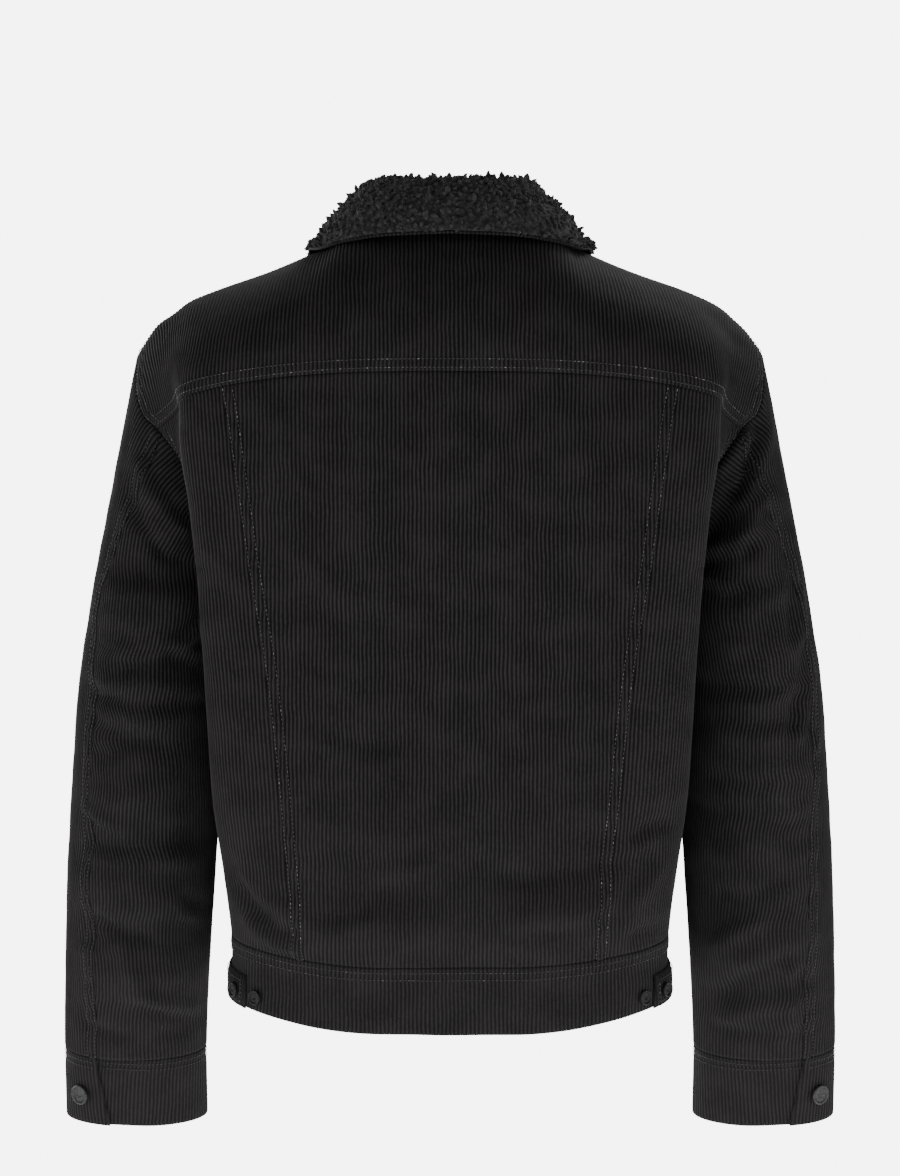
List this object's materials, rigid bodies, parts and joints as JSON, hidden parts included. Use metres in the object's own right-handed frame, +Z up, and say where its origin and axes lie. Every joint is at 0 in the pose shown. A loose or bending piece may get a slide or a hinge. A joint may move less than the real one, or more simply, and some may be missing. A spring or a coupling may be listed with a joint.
{
  "type": "sherpa lined jacket",
  "caption": "Filled-out corduroy trucker jacket with a turned-down sherpa collar, back yoke, long sleeves with buttoned cuffs, and a hem band with waist tabs.",
  "frame": {"origin": "between the wearer's shoulders, where neck and shoulders carry the jacket, midway between its front and its back", "axes": "+X to the wearer's left, +Y out of the back, +Z up"},
  "size_m": [0.6342, 0.2983, 0.7719],
  "materials": {
    "corduroy": "wide-wale cotton corduroy, matt",
    "sherpa": "curly sherpa pile",
    "dark_metal": "satin gunmetal"
  },
  "bodies": {
    "root": {"back_centre": "corduroy", "back_side_left": "corduroy", "back_side_right": "corduroy", "button_band_left": "dark_metal", "button_band_right": "dark_metal", "button_cuff_left": "dark_metal", "button_cuff_right": "dark_metal", "button_front_1": "dark_metal", "button_front_2": "dark_metal", "button_front_3": "dark_metal", "button_front_4": "dark_metal", "button_front_5": "dark_metal", "button_front_6": "dark_metal", "button_tab_left": "dark_metal", "button_tab_right": "dark_metal", "collar_under": "corduroy", "collar_upper": "sherpa", "cuff_left": "corduroy", "cuff_right": "corduroy", "front_left": "corduroy", "front_right": "corduroy", "hem_band": "corduroy", "placket": "corduroy", "sleeve_under_left": "corduroy", "sleeve_under_right": "corduroy", "sleeve_upper_left": "corduroy", "sleeve_upper_right": "corduroy", "tab_left": "corduroy", "tab_right": "corduroy", "yoke": "corduroy"}
  },
  "joints": []
}
